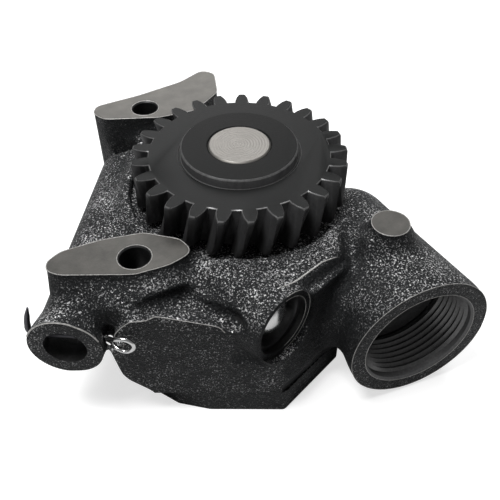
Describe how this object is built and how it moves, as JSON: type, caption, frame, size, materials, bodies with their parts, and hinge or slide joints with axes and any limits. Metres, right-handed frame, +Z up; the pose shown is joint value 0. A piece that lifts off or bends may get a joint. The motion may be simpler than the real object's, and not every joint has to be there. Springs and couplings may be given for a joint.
{
  "type": "engine oil pump",
  "caption": "Cast-iron gear oil pump for an engine, with a helical drive gear, two mounting arms, a threaded suction tube and a relief valve.",
  "frame": {"origin": "where the drive shaft's axis meets the plane of the machined mounting pads", "axes": "+Z up along the drive shaft out of the drive gear; the two mounting holes stand in line along Y; the suction tube and the relief valve open towards -Y"},
  "size_m": [0.1388, 0.1283, 0.0622],
  "materials": {
    "cast_iron": "rough sand casting with machined faces",
    "cast_cover": "rough sand casting, machined joint",
    "gear_steel": "blackened, smooth",
    "rotor_steel": "ground teeth",
    "ground_steel": "bright, fine turned rings",
    "bright_steel": "bright",
    "spring_steel": "oiled",
    "black_screws": "blackened",
    "bronze": "machined"
  },
  "bodies": {
    "housing": {"pump_housing": "cast_iron", "bottom_cover": "cast_cover", "cover_screws": "black_screws", "spring_washers": "bright_steel", "cover_dowels": "bright_steel", "upper_shaft_bush": "bronze", "lower_shaft_bush": "bronze", "thrust_washer": "bronze", "idler_axle": "ground_steel", "relief_spring": "spring_steel", "relief_spring_cap": "bright_steel", "relief_cotter_pin": "bright_steel", "gallery_plug": "bright_steel"},
    "drive_train": {"drive_gear": "gear_steel", "drive_shaft": "ground_steel", "driving_rotor": "rotor_steel", "rotor_key": "bright_steel", "rotor_circlip": "black_screws"},
    "idler": {"driven_rotor": "rotor_steel", "driven_rotor_bush": "bronze"},
    "relief": {"relief_piston": "ground_steel"}
  },
  "joints": [
    {"name": "drive_spin", "type": "hinge", "parent": "housing", "child": "drive_train", "pos_m": [0, 0, 0], "axis": [0, 0, 1], "continuous": true},
    {"name": "idler_spin", "type": "hinge", "parent": "housing", "child": "idler", "pos_m": [-0.00382, -0.03108, -0.034], "axis": [0, 0, 1], "continuous": true},
    {"name": "relief_slide", "type": "slide", "parent": "housing", "child": "relief", "axis": [-0.1668, -0.986, 0], "range_m": [0, 0.008], "stiffness_N_per_m": 2500, "springref_m": -0.018, "deforming": ["relief_spring"]}
  ],
  "couplings": [
    {"joint": "idler_spin", "follows": "drive_spin", "ratio": -1}
  ]
}
